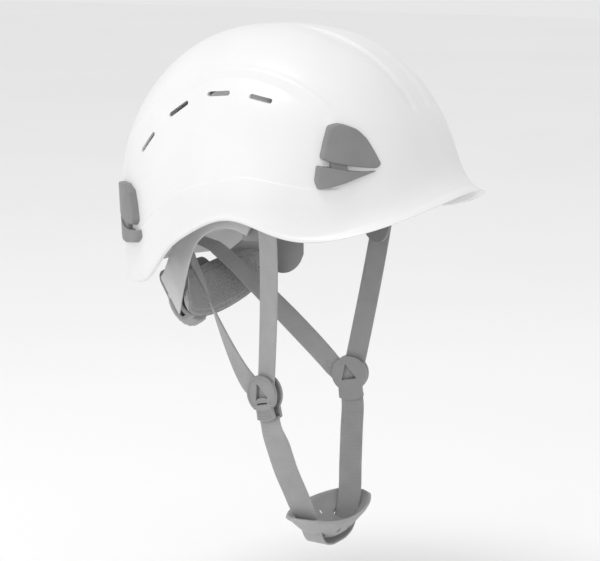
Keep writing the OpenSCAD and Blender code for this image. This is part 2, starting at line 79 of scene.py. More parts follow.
def smoothPath(points, count):
    # even walk along a curve that passes through every point (cubic Hermite between them)
    p = np.asarray(points, float)
    dist = np.concatenate([[0], np.cumsum(np.linalg.norm(np.diff(p, axis=0), axis=1))])
    slope = np.gradient(p, dist, axis=0)
    s = np.linspace(0, dist[-1], count)
    k = np.clip(np.searchsorted(dist, s, side="right") - 1, 0, len(p) - 2)
    h = (dist[k + 1] - dist[k])[:, None]
    t = ((s - dist[k])[:, None]) / h
    return ((2 * t ** 3 - 3 * t ** 2 + 1) * p[k] + (t ** 3 - 2 * t ** 2 + t) * h * slope[k]
            + (3 * t ** 2 - 2 * t ** 3) * p[k + 1] + (t ** 3 - t ** 2) * h * slope[k + 1])


def mirrored(points):
    # the same points on the wearer's other side: x changes sign
    return np.asarray(points, float) * [-1, 1, 1]


# mesh helpers
def makeMesh(name, points, faces, material, uv=None):
    # points in mm, faces as index lists or an array; uv is one pair per point, in metres
    mesh = bpy.data.meshes.new(name)
    mesh.from_pydata((np.asarray(points, float) * 0.001).tolist(), [],
                     faces.tolist() if isinstance(faces, np.ndarray) else faces)
    if uv is not None:
        layer = mesh.uv_layers.new(name="grain")
        corner = np.zeros(len(mesh.loops), dtype=np.int32)
        mesh.loops.foreach_get("vertex_index", corner)
        layer.data.foreach_set("uv", np.asarray(uv, float)[corner].ravel())
    mesh.polygons.foreach_set("use_smooth", np.ones(len(mesh.polygons), dtype=bool))
    mesh.materials.append(material)
    mesh.update()
    thing = bpy.data.objects.new(name, mesh)
    bpy.context.scene.collection.objects.link(thing)
    return thing


def gridFaces(rows, cols, wrapRows=False, wrapCols=False, flip=False):
    # quads between neighbouring points of a grid counted row by row
    i = np.arange(rows if wrapRows else rows - 1)
    j = np.arange(cols if wrapCols else cols - 1)
    i, j = np.meshgrid(i, j, indexing="ij")
    i2, j2 = (i + 1) % rows, (j + 1) % cols
    quads = np.stack([i * cols + j, i * cols + j2, i2 * cols + j2, i2 * cols + j], -1)
    quads = quads.reshape(-1, 4)
    return quads[:, ::-1] if flip else quads


def outward(points, faces):
    # turns a closed mesh's faces the right way: its signed volume has to be positive
    p = points[faces[:, :3]]
    q = points[faces[:, [0, 2, 3]]] if faces.shape[1] == 4 else p[:0]
    vol = sum(np.einsum("ij,ij->i", t[:, 0], np.cross(t[:, 1], t[:, 2])).sum() for t in (p, q))
    return faces if vol > 0 else faces[:, ::-1]


def closedPair(rows, cols):
    # faces of two grids back to back, joined by a row of quads along each of the four borders
    base = rows * cols
    quads = [gridFaces(rows, cols), gridFaces(rows, cols, flip=True) + base]
    i, j = np.arange(rows - 1), np.arange(cols - 1)
    borders = [(i * cols, cols, False), (i * cols + cols - 1, cols, True),
               (j, 1, True), ((rows - 1) * cols + j, 1, False)]
    for start, step, flip in borders:
        q = np.stack([start, start + step, start + step + base, start + base], -1)
        quads.append(q[:, ::-1] if flip else q)
    return np.vstack(quads)


def tube(name, rings, material, uv=None):
    # rings of points, one closed loop after another; each end is closed by a middle point
    count, around = rings.shape[:2]
    base = count * around
    points = np.vstack([rings.reshape(-1, 3), rings[0].mean(0), rings[-1].mean(0)])
    j = np.arange(around)
    j2 = (j + 1) % around
    last = base - around
    capA = np.stack([np.full(around, base), j2, j, j], -1)
    capB = np.stack([np.full(around, base + 1), last + j, last + j2, last + j2], -1)
    if uv is not None:
        uv = np.vstack([uv.reshape(-1, 2), uv[0].mean(0), uv[-1].mean(0)])
    faces = outward(points, np.vstack([gridFaces(count, around, wrapCols=True), capA, capB]))
    # a cap is a triangle: its doubled corner is dropped
    return makeMesh(name, points, [tuple(dict.fromkeys(f)) for f in faces.tolist()], material, uv)


def cutBy(thing, cutters):
    # takes the cutters out of a closed piece and keeps the result as its mesh
    for cutter in cutters:
        step = thing.modifiers.new("cut", "BOOLEAN")
        step.operation = "DIFFERENCE"
        step.solver = "MANIFOLD"
        step.object = cutter
    bpy.context.view_layer.update()
    graph = bpy.context.evaluated_depsgraph_get()
    fresh = bpy.data.meshes.new_from_object(thing.evaluated_get(graph))
    thing.modifiers.clear()
    fresh.name = thing.name
    thing.data = fresh
    fresh.polygons.foreach_set("use_smooth", np.ones(len(fresh.polygons), dtype=bool))
    for cutter in cutters:
        bpy.data.objects.remove(cutter)
    return thing


def sharpen(thing, angle):
    # keeps creases sharper than the angle hard while the rest is shaded smooth
    thing.data.set_sharp_from_angle(angle=math.radians(angle))
    return thing


def finish(thing, body, node):
    # ties a piece to its body, if it has one, and hides the frame nodes it stands for
    if body:
        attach(thing, body)
    if node:
        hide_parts(*([node] if isinstance(node, str) else node))
    return thing


# materials
class Shader:
    # a node material under construction: Object coordinates or the piece's own UV
    def __init__(self, name, colour, rough, sheen=0.0, coat=0.0, metal=0.0, spec=0.5):
        self.mat = bpy.data.materials.new(name)
        self.mat.use_nodes = True
        self.nodes, self.links = self.mat.node_tree.nodes, self.mat.node_tree.links
        self.body = self.nodes["Principled BSDF"]
        self.body.inputs["Base Color"].default_value = (*colour, 1)
        self.body.inputs["Roughness"].default_value = rough
        self.body.inputs["Metallic"].default_value = metal
        self.body.inputs["Specular IOR Level"].default_value = spec
        self.body.inputs["Sheen Weight"].default_value = sheen
        self.body.inputs["Coat Weight"].default_value = coat
        self.body.inputs["Coat Roughness"].default_value = 0.25
        self.where = self.nodes.new("ShaderNodeTexCoord")

    def add(self, kind, **values):
        node = self.nodes.new(kind)
        for key, value in values.items():
            socket = node.inputs.get(key.replace("_", " "))
            if socket is not None:
                socket.default_value = value
            else:
                setattr(node, key, value)
        return node

    def join(self, out, into):
        self.links.new(out, into)

    def noise(self, scale, detail=3.0, source="Object", stretch=None):
        node = self.add("ShaderNodeTexNoise", Scale=scale, Detail=detail)
        out = self.where.outputs[source]
        if stretch:
            place = self.add("ShaderNodeMapping")
            place.inputs["Scale"].default_value = stretch
            self.join(out, place.inputs["Vector"])
            out = place.outputs["Vector"]
        self.join(out, node.inputs["Vector"])
        return node.outputs["Fac"]

    def ramp(self, value, low, high, start=0.3, end=0.7):
        node = self.nodes.new("ShaderNodeValToRGB")
        node.color_ramp.elements[0].position = start
        node.color_ramp.elements[1].position = end
        node.color_ramp.elements[0].color = (*low, 1)
        node.color_ramp.elements[1].color = (*high, 1)
        self.join(value, node.inputs["Fac"])
        return node.outputs["Color"]

    def range(self, value, low, high, start=0.3, end=0.7):
        node = self.add("ShaderNodeMapRange")
        for key, val in (("From Min", start), ("From Max", end),
                         ("To Min", low), ("To Max", high)):
            node.inputs[key].default_value = val
        self.join(value, node.inputs["Value"])
        return node.outputs["Result"]

    def bump(self, height, distance, strength=1.0, after=None):
        node = self.add("ShaderNodeBump", Strength=strength, Distance=distance)
        self.join(height, node.inputs["Height"])
        if after is not None:
            self.join(after, node.inputs["Normal"])
        return node.outputs["Normal"]

    def set(self, socket, out):
        self.join(out, self.body.inputs[socket])


def shade(colour, by):
    # each part of the colour times by, no more than 1
    return tuple(min(1.0, c * by) for c in colour)


def mouldedPlastic(name, colour, rough=0.45, grain=900, depth=0.00006, coat=0.0, vary=0.10):
    # moulded plastic: cloudy tone, fine spark-eroded grain, uneven gloss and faint scuffs
    s = Shader(name, colour, rough, coat=coat)
    cloud = s.noise(28, 4)
    scuff = s.noise(60, 5, stretch=(1, 7, 2))
    s.set("Base Color", s.ramp(cloud, shade(colour, 1 - vary), shade(colour, 1 + vary)))
    s.set("Roughness", s.range(scuff, rough - 0.07, rough + 0.10))
    fine = s.bump(s.noise(grain, 2), depth)
    s.set("Normal", s.bump(s.noise(90, 2), depth * 2, after=fine))
    return s.mat


def webbing(name, colour, rib=0.0011):
    # woven band: ribs across, a plait of two yarns and a random tone; the colour is darker in the
    # rib valleys as painted shade and lighter on the crests as painted highlight; a selvedge at
    # each side
    s = Shader(name, colour, 0.8, sheen=0.35, spec=0.25)
    uv = s.where.outputs["UV"]
    apart = s.add("ShaderNodeSeparateXYZ")
    s.join(uv, apart.inputs["Vector"])

    def sine(socket, pitch, shift=None):
        turn = s.add("ShaderNodeMath", operation="MULTIPLY")
        turn.inputs[1].default_value = 2 * math.pi / pitch
        s.join(socket, turn.inputs[0])
        out = turn.outputs[0]
        if shift is not None:
            plus = s.add("ShaderNodeMath", operation="ADD")
            s.join(out, plus.inputs[0])
            s.join(shift, plus.inputs[1])
            out = plus.outputs[0]
        wave = s.add("ShaderNodeMath", operation="SINE")
        s.join(out, wave.inputs[0])
        return wave.outputs[0]

    across = sine(apart.outputs["X"], rib * 1.6)
    swing = s.add("ShaderNodeMath", operation="MULTIPLY")
    swing.inputs[1].default_value = 1.5
    s.join(across, swing.inputs[0])
    along = sine(apart.outputs["Y"], rib, swing.outputs[0])
    fibre = s.noise(2600, 2, "UV", (1, 0.35, 1))
    blend = s.add("ShaderNodeMath", operation="MULTIPLY_ADD")
    s.join(along, blend.inputs[0])
    blend.inputs[1].default_value = 0.35
    s.join(fibre, blend.inputs[2])
    tone = s.noise(70, 3)
    both = s.add("ShaderNodeMath", operation="MULTIPLY_ADD")
    s.join(tone, both.inputs[0])
    both.inputs[1].default_value = 0.5
    s.join(blend.outputs[0], both.inputs[2])
    # painted shade in the rib valleys and painted highlight on the rib crests, over the yarns'
    # random tone
    valleyShade, crestHighlight = shade(colour, 0.72), shade(colour, 1.18)
    s.set("Base Color", s.ramp(both.outputs[0], valleyShade, crestHighlight, 0.35, 1.1))
    s.set("Roughness", s.range(fibre, 0.7, 0.9))
    s.set("Normal", s.bump(blend.outputs[0], 0.00022))
    return s.mat


def knitPad(name, colour):
    # pad cover: a close knit over foam with slightly mottled gloss; its colour is darker in the
    # pits between the loops as painted shade and lighter on the loop ridges as painted highlight
    s = Shader(name, colour, 0.9, sheen=0.5, spec=0.2)
    cell = s.add("ShaderNodeTexVoronoi", Scale=700.0)
    s.join(s.where.outputs["Object"], cell.inputs["Vector"])
    loops = cell.outputs["Distance"]
    # the colour follows the loops' bump height: painted shade in the pits, painted highlight on
    # the ridges
    s.set("Base Color", s.ramp(loops, shade(colour, 0.8), shade(colour, 1.25), 0.1, 0.7))
    s.set("Roughness", s.range(s.noise(300, 3), 0.82, 0.97))
    s.set("Normal", s.bump(loops, 0.0003, after=s.bump(s.noise(60, 3), 0.0006)))
    return s.mat


def brushedSteel(name, colour):
    # drawn steel: a grain stretched along one way sets gloss, tone and a slight bump
    s = Shader(name, colour, 0.32, metal=1.0)
    grain = s.noise(500, 4, stretch=(1, 12, 1))
    s.set("Roughness", s.range(grain, 0.22, 0.42))
    s.set("Base Color", s.ramp(grain, shade(colour, 0.85), shade(colour, 1.1)))
    s.set("Normal", s.bump(grain, 0.00002))
    return s.mat


tones = {
    "shell": (0.79, 0.79, 0.79), "clip": (0.225, 0.225, 0.225), "strap": (0.36, 0.36, 0.36),
    "cradle": (0.28, 0.28, 0.28), "pad": (0.28, 0.28, 0.28), "band": (0.24, 0.24, 0.24),
    "arm": (0.48, 0.48, 0.48), "housing": (0.26, 0.26, 0.26), "knob": (0.36, 0.36, 0.36),
    "gear": (0.55, 0.55, 0.53), "divider": (0.28, 0.28, 0.28), "cup": (0.38, 0.38, 0.38),
    "steel": (0.62, 0.62, 0.62), "inner": (0.30, 0.30, 0.30),
}
shellPlastic = mouldedPlastic("shellPlastic", tones["shell"], 0.38, 700, 0.00003, coat=0.15,
                              vary=0.015)
clipPlastic = mouldedPlastic("clipPlastic", tones["clip"], 0.5, 1100, 0.0001)
bandPlastic = mouldedPlastic("bandPlastic", tones["band"], 0.5)
armPlastic = mouldedPlastic("armPlastic", tones["arm"], 0.36, 900, 0.00004)
housingPlastic = mouldedPlastic("housingPlastic", tones["housing"], 0.34, 900, 0.00004, coat=0.2)
knobPlastic = mouldedPlastic("knobPlastic", tones["knob"], 0.5, 1200, 0.0001)
gearPlastic = mouldedPlastic("gearPlastic", tones["gear"], 0.35)
dividerPlastic = mouldedPlastic("dividerPlastic", tones["divider"], 0.36, 1000, 0.00005, coat=0.15)
cupPlastic = mouldedPlastic("cupPlastic", tones["cup"], 0.55, 1100, 0.00008)
innerPlastic = mouldedPlastic("innerPlastic", tones["inner"], 0.5)
chinWeave = webbing("chinWeave", tones["strap"])
cradleWeave = webbing("cradleWeave", tones["cradle"], 0.0013)
padCover = knitPad("padCover", tones["pad"])
steelFinish = brushedSteel("steelFinish", tones["steel"])

slotFinish = {"inner_plastic": innerPlastic, "band_plastic": bandPlastic, "steel": steelFinish,
              "housing_plastic": housingPlastic, "gear_plastic": gearPlastic,
              "divider_plastic": dividerPlastic, "arm_plastic": armPlastic,
              "knob_plastic": knobPlastic, "cup_plastic": cupPlastic,
              "clip_grey": clipPlastic, "shell_white": shellPlastic,
              "pad_fabric": padCover, "chin_webbing": chinWeave, "cradle_webbing": cradleWeave}
for entry in frame["record"]["subparts"]:
    node = frame["nodes"][entry["node"]]
    for place in node.material_slots:
        place.material = slotFinish[entry["material_slot"]]
print("materials ready")

# the shell's form, the same formulas as the frame
shell = {
    "crown": 157, "halfWidth": 113, "frontReach": 130, "rearReach": 118, "wall": 2.6,
    "brim": 20, "brimFade": 10, "brimSpread": 55, "belt": 40, "planPower": 2.25,
    "heightPower": 1.77, "widthPower": 2.4, "tuck": 0.03, "tuckHeight": 80,
    "rimSide": 5, "browRise": 36, "browSpread": 42, "archRise": 21, "archAngle": 83,
    "archSpread": 19.5, "napeDrop": 34, "napeAngle": 115, "napeBlend": 4.3,
    # the side panel is sunk below a shoulder that arches over it: (angle, height) stations
    "shoulderTop": [(0, 96), (30, 96), (42, 101), (49.5, 112.7), (57, 120), (68.5, 126.2),
                    (78, 128), (88, 128.3), (97.5, 126.7), (107, 123), (114, 117.6),
                    (121, 110.2), (132, 96), (142, 78), (152, 66), (180, 64)],
    "shoulderFoot": [(0, 88), (30, 88), (46.5, 95.7), (50.5, 102.5), (55.5, 109.6),
                     (61.5, 115.2), (68, 119.4), (77, 122.8), (86.5, 124), (96, 122.8),
                     (104.5, 119.4), (111, 114), (118, 105.1), (125.5, 95.1), (136, 76),
                     (144, 64), (152, 58), (180, 56)],
    "foldLine": [(0, 74), (46, 76), (60, 81), (72.5, 83.9), (80.5, 84.6), (87.5, 83.2),
                 (95, 80.4), (101, 76.2), (112, 68.3), (121.5, 57.2), (135, 38), (150, 30),
                 (180, 30)],
    "ledge": [(0, 58), (30, 54), (46, 50.5), (54.5, 51.1), (61.5, 53.1), (68.5, 55.8),
              (75.5, 57.9), (82, 56.5), (92.5, 51.8), (99.5, 47.3), (104, 43.6), (110, 36),
              (117.5, 24.4), (126, 12), (150, 2), (180, 0)],
    "sunk": 1.7, "lip": 0.6, "ledgeStep": 1.3, "ribHalf": 9, "channelDepth": 2.1, "rimBead": 0.7,
}


def fromFront(a):
    # angle from the front, 0 to 180 on either side
    return np.abs((a + 540) % 360 - 180)


def rimHeight(a):
    # a side level, raised over the brow and the ear, dropped behind
    w = fromFront(a)
    return (shell["rimSide"] + shell["browRise"] * np.exp(-(w / shell["browSpread"]) ** 2)
            + shell["archRise"] * np.exp(-((w - shell["archAngle"]) / shell["archSpread"]) ** 2)
            - shell["napeDrop"] / (1 + np.exp(-(w - shell["napeAngle"]) / shell["napeBlend"])))


def skin(a, z, grow=0.0):
    # point of the shell's skin at angle a (degrees from the front) and height z, grown outwards
    r = np.radians(a)
    c, s = np.cos(r), np.sin(r)
    reach = np.where(c > 0, shell["frontReach"], shell["rearReach"])
    n = shell["planPower"]
    plan = ((np.abs(c) / reach) ** n + (np.abs(s) / shell["halfWidth"]) ** n) ** (-1 / n)
    belt = shell["belt"]
    rise = np.clip((z - belt) / (shell["crown"] + grow - belt), 0, 1)
    lift = rise ** (shell["heightPower"] / 2)
    dome = np.clip(1 - lift * lift, 0, 1) ** (1 / shell["widthPower"])
    skirt = 1 - shell["tuck"] * np.maximum(0, belt - z) / shell["tuckHeight"]
    flare = (shell["brim"] * np.exp(-(fromFront(a) / shell["brimSpread"]) ** 2.5)
             * np.exp(-np.maximum(z - rimHeight(a), -6) / shell["brimFade"]))
    lean = np.sqrt(1 + (flare / shell["brimFade"]) ** 2)
    radius = plan * dome * skirt + flare + grow * lean * dome ** 0.5
    return np.stack([radius * s, -radius * c, z + 0 * radius], -1)


def lineHeight(name, w):
    # height of a feature line at angle w from the front, its stations joined by a smooth curve
    at = np.array(shell[name], float)
    fine = np.arange(-60, 241, 0.5)
    folded = np.where(fine < 0, -fine, np.where(fine > 180, 360 - fine, fine))
    raw = np.interp(folded, at[:, 0], at[:, 1])
    reach = np.arange(-12, 13)
    weight = np.exp(-(reach / 5.0) ** 2)
    soft = np.convolve(raw, weight / weight.sum(), mode="same")
    return np.interp(w, fine, soft)


def detail(points, a, z, level):
    # how far the skin stands out at each point: sunk side panel, channels beside the rib
    w = fromFront(a)
    inPanel = smooth(w, 43, 47) * (1 - smooth(w, 143, 150))
    d = -inPanel * level
    x, y = points[..., 0], points[..., 1]
    side = np.abs(x)
    edge = np.interp(-y, [-10, 0, 60, 112], [26, 26, 32, 17])
    slope = smooth(side, edge, 11) * (1 - smooth(shell["ribHalf"] - side, -1.2, 1.2))
    along = smooth(-y, 10, 62) * smooth(z, 99.2, 101.4)
    return d - shell["channelDepth"] * slope * along


def shellGrid(wall):
    # rings that follow the feature lines, so that every crease lies along a row of points
    near = np.arange(-24, 24, 0.6)
    rest = np.arange(24, 336, 1.2)
    a = np.concatenate([near, rest])
    w = fromFront(a)
    rim = rimHeight(a)
    up, foot = lineHeight("shoulderTop", w), lineHeight("shoulderFoot", w)
    fold, ledge = lineHeight("foldLine", w), lineHeight("ledge", w)
    sunk, part = shell["sunk"], shell["sunk"] * 0.45
    # each stop: (height, sunk depth), then how many rings lie before the next
    stops = [(up + 4, 0), (up + 0.8, -shell["lip"]), (foot, 0.95 * sunk), (foot - 1.5, sunk),
             (fold + 1.2, sunk), (fold - 1.2, 0.97 * sunk), (ledge + 1.0, part),
             (ledge + 0.2, part * 0.9), (ledge - 0.9, 0.0), (ledge - 2, 0.0),
             (rim + 3.4, 0.0), (rim + 2.2, 0), (rim + 0.5, 0), (rim, 0)]
    counts = [2, 5, 2, 14, 2, 12, 2, 3, 2, 16, 2, 2, 1]
    crown = shell["crown"] + wall
    z, level = [], []
    # the dome above the shoulder, spaced by the angle from the crown
    belt, power = shell["belt"], shell["heightPower"]
    startLift = ((stops[0][0] - belt) / (crown - belt)) ** (power / 2)
    startTurn = np.arccos(np.clip(startLift, 0, 1))
    for k in range(1, 50):
        turn = startTurn * k / 50
        z.append(belt + (crown - belt) * np.cos(turn) ** (2 / power))
        level.append(np.zeros_like(a))
    for (h0, d0), (h1, d1), n in zip(stops[:-1], stops[1:], counts):
        for k in range(n):
            z.append(h0 + (h1 - h0) * k / n)
            level.append(np.zeros_like(a) + d0 + (d1 - d0) * k / n)
    z.append(stops[-1][0])
    level.append(np.zeros_like(a))
    z, level = np.array(z), np.array(level)
    a = np.broadcast_to(a, z.shape)
    base = skin(a, z, wall)
    d = detail(skin(a, z), a, z, level)
    if wall == 0:
        high = z - rimHeight(a)
        d = d + shell["rimBead"] * (1 - smooth(high, 2.1, 3.3)) - 0.55 * (1 - smooth(high, 0, 0.6))
    return skin(a, z, wall + d), base


outer, _ = shellGrid(0.0)
inner, _ = shellGrid(-shell["wall"])
rows, cols = outer.shape[:2]
lip = mix(outer[-1], inner[-1], 0.5)[None] + [0, 0, -0.6]
rings = np.concatenate([outer, lip, inner[::-1]])
shellPoints = np.vstack([rings.reshape(-1, 3), [[0, 0, shell["crown"]]],
                         [[0, 0, shell["crown"] - shell["wall"]]]])
quads = gridFaces(len(rings), cols, wrapCols=True)
j = np.arange(cols)
j2 = (j + 1) % cols
last = (len(rings) - 1) * cols
top, under = len(shellPoints) - 2, len(shellPoints) - 1
faceList = quads.tolist() + np.stack([j2, j, np.full(cols, top)], -1).tolist() \
    + np.stack([last + j, last + j2, np.full(cols, under)], -1).tolist()
p = shellPoints[quads[0]]
if np.dot(np.cross(p[1] - p[0], p[2] - p[0]), p[0] - [0, 0, 40]) < 0:
    faceList = [f[::-1] for f in faceList]
shellPiece = makeMesh("shellSkin", shellPoints, faceList, shellPlastic)

vents = {"length": 18, "height": 3.4, "angles": [-124, -112, -94, -73], "top": 112.5, "middle": 88}


def ventPoint(a):
    # the row of vents follows the shoulder, falling away slowly forwards and fast backwards
    w = float(fromFront(a))
    z = (vents["top"] - 0.011 * max(0, vents["middle"] - w) ** 2
         - 0.0021 * max(0, w - vents["middle"]) ** 2.73)
    return skin(np.array(float(a)), np.array(z))


def ventCutter(a, mirror):
    # a slot with round ends, pushed straight through the wall
    d = ventPoint(a + 2) - ventPoint(a - 2)
    along = d / np.linalg.norm(d)
    flat = np.array([along[1], -along[0], 0.0])
    through = flat / np.linalg.norm(flat)
    up = np.cross(through, along)
    t = np.linspace(0, 2 * np.pi, 40, endpoint=False)
    half, r = vents["length"] / 2 - vents["height"] / 2, vents["height"] / 2
    u = r * np.cos(t) + np.sign(np.cos(t)) * half
    v = r * np.sin(t)
    loop = u[:, None] * along + v[:, None] * up + ventPoint(a)
    pair = np.array([loop - through * 12, loop + through * 12])
    if mirror:
        pair = mirrored(pair)
    return tube("ventCutter", pair, shellPlastic)


cutBy(shellPiece, [ventCutter(a, m) for a in vents["angles"] for m in (False, True)])
sharpen(shellPiece, 50)
finish(shellPiece, "shell", "outer_shell")
print("shell ready", len(shellPiece.data.polygons))


# lamp clips, drawn in the shell's own angle and height
clips = {
    "proud": 4.6, "flatten": 0.75, "soft": 1.3, "bed": -1.2, "rings": 16, "around": 120,
    "shield": [(-50.2, 71.5), (-48.6, 82), (-46.4, 93), (-43.2, 95), (-40.5, 94), (-36.2, 90.6),
               (-33.2, 84), (-31, 74), (-29.6, 66), (-31.4, 63.4), (-37, 64.6), (-42, 66.4),
               (-47.5, 68.7)],
    "wedge": [(-51.4, 66.4), (-52.3, 56), (-51.4, 50.6), (-48, 51.2), (-43.5, 53.8), (-37.5, 58.2),
              (-31.5, 62), (-36.5, 62), (-42, 63.2), (-47, 65.4)],
    "neck": [(-47, 63), (-41.3, 61.5), (-41.3, 68), (-47, 70)],
    "rearShield": [(-125.4, 18.8), (-126.5, 31), (-128, 40), (-133, 43.8), (-141, 43.4),
                   (-147, 41), (-148.5, 33), (-146, 25), (-141, 19), (-134, 15.6), (-127, 14.6)],
    "rearWedge": [(-123.6, 12.4), (-123.2, 6.5), (-126, 2.2), (-133, 0), (-140, 0.4), (-146, 6),
                  (-149, 15), (-149.5, 20.5), (-146, 20.6), (-141, 15.4), (-134, 11.6),
                  (-127, 10.6)],
    "rearNeck": [(-132, 10), (-138, 11), (-138, 18), (-132, 18)],
}


def roundedLoop(corners, count, soften):
    # closed outline through the corners, walked evenly and eased round each of them
    c = np.asarray(corners, float)
    c = np.vstack([c, c[:1]])
    dist = np.concatenate([[0], np.cumsum(np.linalg.norm(np.diff(c, axis=0), axis=1))])
    s = np.linspace(0, dist[-1], count * 4, endpoint=False)
    loop = np.stack([np.interp(s, dist, c[:, k]) for k in range(c.shape[1])], -1)
    reach = max(1, int(soften * count * 4 / dist[-1]))
    window = np.hanning(2 * reach + 3)[1:-1]
    window /= window.sum()
    wrapped = np.concatenate([loop[-reach * 2:], loop, loop[:reach * 2]])
    soft = np.stack([np.convolve(wrapped[:, k], window, mode="same")
                     for k in range(loop.shape[1])], -1)
    return soft[reach * 2:-reach * 2][::4]


def shellPad(name, corners, proud, soften, mirror, dish=0.0):
    # pad standing on the skin: rings shrink from the outline to the middle while it rises
    stretch = np.array([1.9, 1.0])     # about 1.9 mm to a degree round the shell
    loop = roundedLoop(np.asarray(corners) * stretch, clips["around"], soften)
    mid = loop.mean(0)
    reach = np.linalg.norm(loop - mid, axis=1).mean()
    edge = np.concatenate([np.linspace(0, clips["soft"], 7),
                           np.linspace(clips["soft"], reach, 9)[1:]])
    keep = 1 - edge / reach
    lift = np.minimum(1, edge / clips["soft"])
    height = clips["bed"] + (proud - clips["bed"]) * np.sqrt(1 - (1 - lift) ** 2)
    height = np.concatenate([[clips["bed"]], height - dish * (1 - keep) ** 2])
    keep = np.concatenate([[1.0], keep])
    flat = mid + (loop - mid)[None] * np.maximum(keep, 0.002)[:, None, None]
    angle = flat[..., 0] / stretch[0]
    thin = ((1 - clips["flatten"] * smooth(angle, -46, -30))
            * (0.45 + 0.55 * smooth(angle, -150, -132)))
    front = skin(angle, flat[..., 1], height[:, None] * thin)
    back = skin(flat[::-1, :, 0] / stretch[0], flat[::-1, :, 1], clips["bed"] - 1.0)
    solid = np.concatenate([back, front])
    if mirror:
        solid = mirrored(solid)
    return tube(name, solid, clipPlastic)


def joinPieces(name, things):
    # one mesh out of several closed ones
    points, faces, base = [], [], 0
    for t in things:
        v = np.zeros(len(t.data.vertices) * 3)
        t.data.vertices.foreach_get("co", v)
        points.append(v.reshape(-1, 3) * 1000)
        faces += [tuple(k + base for k in q.vertices) for q in t.data.polygons]
        base += len(t.data.vertices)
    material = things[0].data.materials[0]
    for t in things:
        bpy.data.objects.remove(t)
    return makeMesh(name, np.vstack(points), faces, material)


for mirror, side in ((False, "Right"), (True, "Left")):
    front = joinPieces("lampClipFront" + side, [
        shellPad("shield", clips["shield"], clips["proud"], 3.0, mirror),
        shellPad("wedge", clips["wedge"], clips["proud"] * 0.9, 1.6, mirror),
        shellPad("neck", clips["neck"], clips["proud"] * 0.55, 1.0, mirror)])
    finish(sharpen(front, 60), "shell", "lamp_clip_front_" + side.lower())
    rear = joinPieces("lampClipRear" + side, [
        shellPad("shield", clips["rearShield"], clips["proud"], 3.0, mirror),
        shellPad("wedge", clips["rearWedge"], clips["proud"] * 0.9, 2.0, mirror),
        shellPad("neck", clips["rearNeck"], clips["proud"] * 0.55, 1.0, mirror)])
    finish(sharpen(rear, 60), "shell", "lamp_clip_rear_" + side.lower())
print("lamp clips ready")


# webbing
web = {"width": 16, "thick": 1.3, "edge": 0.5}


def ribbonRings(path, across, width, thick, edge):
    # flat band with rounded edges: its width lies along across, made square to the path
    p = np.asarray(path, float)
    along = unit(np.gradient(p, axis=0))
    a = np.broadcast_to(np.asarray(across, float), p.shape)
    side = unit(a - np.sum(a * along, -1, keepdims=True) * along)
    face = np.cross(along, side)
    w = np.broadcast_to(np.asarray(width, float), len(p)) / 2
    t = np.linspace(-np.pi / 2, np.pi / 2, 6)
    steps = np.linspace(-1, 1, 7)[1:-1]
    u = np.concatenate([edge * np.cos(t), steps[::-1] * 0, edge * -np.cos(t), steps * 0])
    isSide = np.concatenate([np.ones(6), steps[::-1], -np.ones(6), steps])
    v = np.concatenate([np.sin(t) * thick / 2, steps * 0 + thick / 2,
                        -np.sin(t) * thick / 2, steps * 0 - thick / 2])
    flat = isSide[None] * (w[:, None] - edge) + u[None]
    rings = p[:, None] + side[:, None] * flat[..., None] + face[:, None] * v[None, :, None]
    dist = np.concatenate([[0], np.cumsum(np.linalg.norm(np.diff(p, axis=0), axis=1))])
    uv = np.stack([flat, np.broadcast_to(dist[:, None], flat.shape)], -1) * 0.001
    return rings, uv


def band(name, path, across, material, width=None, thick=None, edge=None):
    # a ribbon made a closed piece; what isn't given is the harness webbing's own size
    width = web["width"] if width is None else width
    rings, uv = ribbonRings(path, across, width, thick or web["thick"], edge or web["edge"])
    return tube(name, rings, material, uv)


def turning(start, end, count):
    # unit directions that go over from start to end in even steps
    return unit(mix(start, end, np.linspace(0, 1, count)[:, None]))


harness = {
    "dividerX": 67, "yaw": 14, "right": (-19.5, -106, 14), "left": (-22, -117, 5),
    "layer": 0.85, "reach": 20.6, "inside": 19, "steps": 60, "chinWidth": 18,
    "chinStart": 17.5,
}


def dividerWay(at, local):
    # direction x outwards, y forwards, z up, leant by the tilt and then turned by the yaw
    q = np.asarray(local, float)
    yaw, tilt = math.radians(harness["yaw"]), math.radians(at[2])
    x, y, z = q[..., 0], q[..., 1], q[..., 2]
    fore = y * math.cos(tilt) - z * math.sin(tilt)
    up = y * math.sin(tilt) + z * math.cos(tilt)
    return np.stack([-x * math.cos(yaw) - fore * math.sin(yaw),
                     x * math.sin(yaw) - fore * math.cos(yaw), up], -1)


def onDivider(at, local):
    # the divider's own direction added to its middle, for the wearer's right side
    return np.array([-harness["dividerX"], at[0], at[1]]) + dividerWay(at, local)


def intoDivider(at, layer, end, way, lead):
    # a straight end along way, reached through a handle lead further out
    tip = onDivider(at, [layer, end[0], end[1]])
    out = unit(dividerWay(at, [0, way[0], way[1]]))
    return tip, tip + harness["inside"] * out, tip + (harness["inside"] + lead) * out


def frontStrap(at, back):
    # one cubic curve down from the shell, then the straight end
    tip, gate, handle = intoDivider(at, harness["layer"], (0, -5.8), (0.3, 1), 26)
    shift = np.array([0, back, 0.0])
    top = np.array([[-104, -40, 30], [-98, -42, 6]]) + shift
    down = bezier([*top, handle, gate], harness["steps"])
    path = np.vstack([down, mix(gate, tip, 0.5), tip])
    t = np.clip(np.linspace(0, 1.3, len(path)), 0, 1)[:, None]
    return path, unit(mix(np.array([0.15, 1, 0.1]), dividerWay(at, [0, -1, 0.3]), t))


